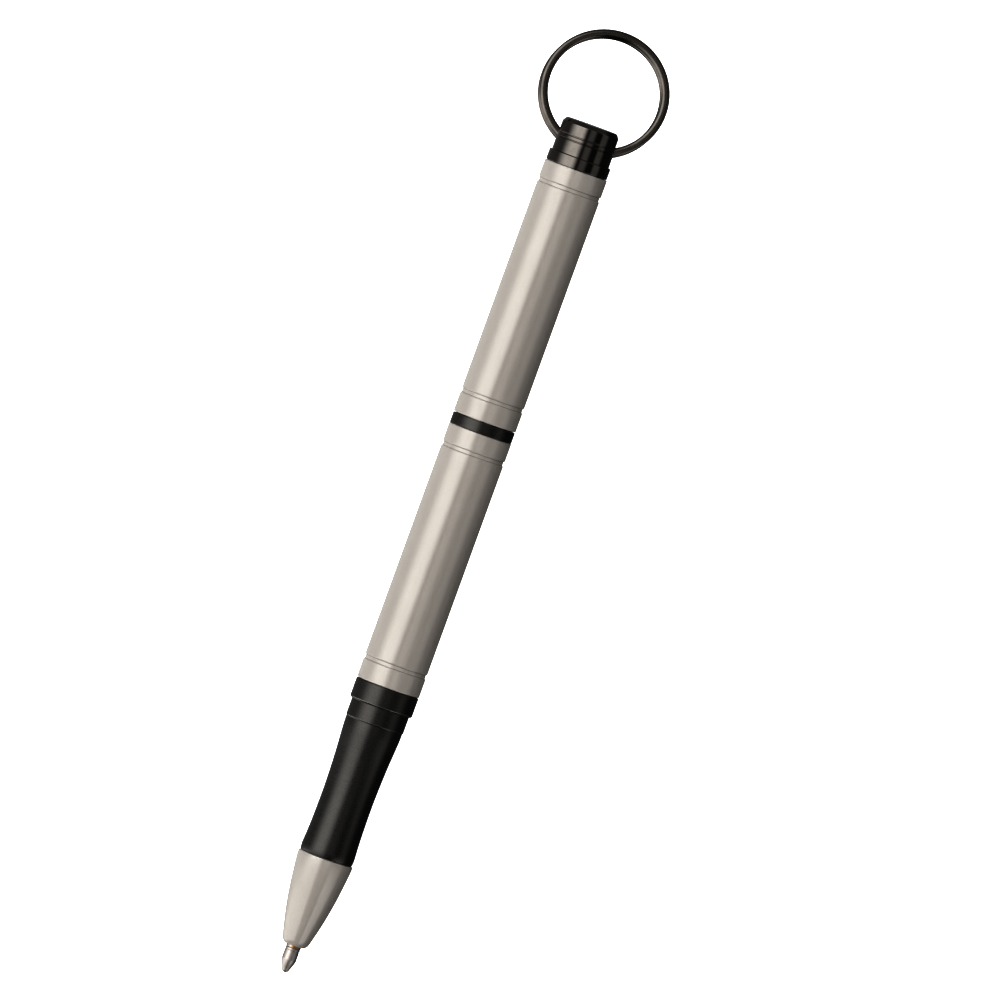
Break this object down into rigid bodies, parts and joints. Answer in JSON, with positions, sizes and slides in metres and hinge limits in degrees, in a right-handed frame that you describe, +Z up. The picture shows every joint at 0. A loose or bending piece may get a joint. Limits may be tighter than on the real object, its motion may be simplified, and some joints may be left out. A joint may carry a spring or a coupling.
{
  "type": "capped ballpoint pen with key ring",
  "caption": "Slim capped pocket ballpoint lying on its side, cap posted on the tail, split key ring through the cap's end plug.",
  "frame": {"origin": "bottom centre of the whole pen's bounding box, on the surface it lies on", "axes": "+X along the pen from the writing ball to the cap end and ring, +Z up, pen axis 5 mm above the surface"},
  "size_m": [0.152, 0.02, 0.01],
  "materials": {
    "satin_nickel": "satin nickel, fine lengthwise brushing, warm",
    "black_satin": "black anodised, satin, fine turning marks",
    "black_gloss": "black anodised, glossy",
    "black_nickel": "black nickel plate, glossy",
    "point_steel": "turned, bright",
    "refill_brass": "turned, bright",
    "seal_rubber": "matt",
    "ink": "glossy, thick ink",
    "refill_plastic": "moulded, matt",
    "ball_carbide": "polished"
  },
  "bodies": {
    "barrel": {"barrel_tube": "satin_nickel", "barrel_bush": "refill_brass", "tail_plug": "black_satin", "refill_spring": "point_steel"},
    "cap": {"cap_tube": "satin_nickel", "cap_plug": "black_gloss"},
    "key_ring": {"split_ring": "black_nickel"},
    "refill": {"refill_tip": "point_steel", "refill_neck": "refill_brass", "refill_body_tube": "refill_brass", "refill_end_plug": "refill_plastic", "ink_column": "ink"},
    "front_section": {"grip_section": "black_satin", "nose_cone": "satin_nickel", "section_o_ring": "seal_rubber"},
    "ink_follower": {"ink_float": "refill_plastic"},
    "ball": {"writing_ball": "ball_carbide"}
  },
  "joints": [
    {"name": "cap_pull", "type": "slide", "parent": "barrel", "child": "cap", "axis": [1, 0, 0], "range_m": [0, 0.02]},
    {"name": "ring_swing", "type": "hinge", "parent": "cap", "child": "key_ring", "pos_m": [0.05764, 0, 0.005], "axis": [0, 1, 0], "range_deg": [-165, 140]},
    {"name": "refill_advance", "type": "slide", "parent": "barrel", "child": "refill", "axis": [-1, 0, 0], "range_m": [0, 0.005], "deforming": ["refill_spring"]},
    {"name": "section_unscrew", "type": "hinge", "parent": "refill", "child": "front_section", "pos_m": [-0.045, 0, 0.005], "axis": [-1, 0, 0], "range_deg": [0, 1810]},
    {"name": "ink_float_travel", "type": "slide", "parent": "refill", "child": "ink_follower", "axis": [-1, 0, 0], "range_m": [0, 0.045], "deforming": ["ink_column"]},
    {"name": "ball_roll", "type": "hinge", "parent": "refill", "child": "ball", "pos_m": [-0.07551, 0, 0.005], "axis": [0, 1, 0], "continuous": true}
  ],
  "couplings": [
    {"joint": "section_unscrew", "follows": "refill_advance", "rad_per_m": 6283.2}
  ]
}
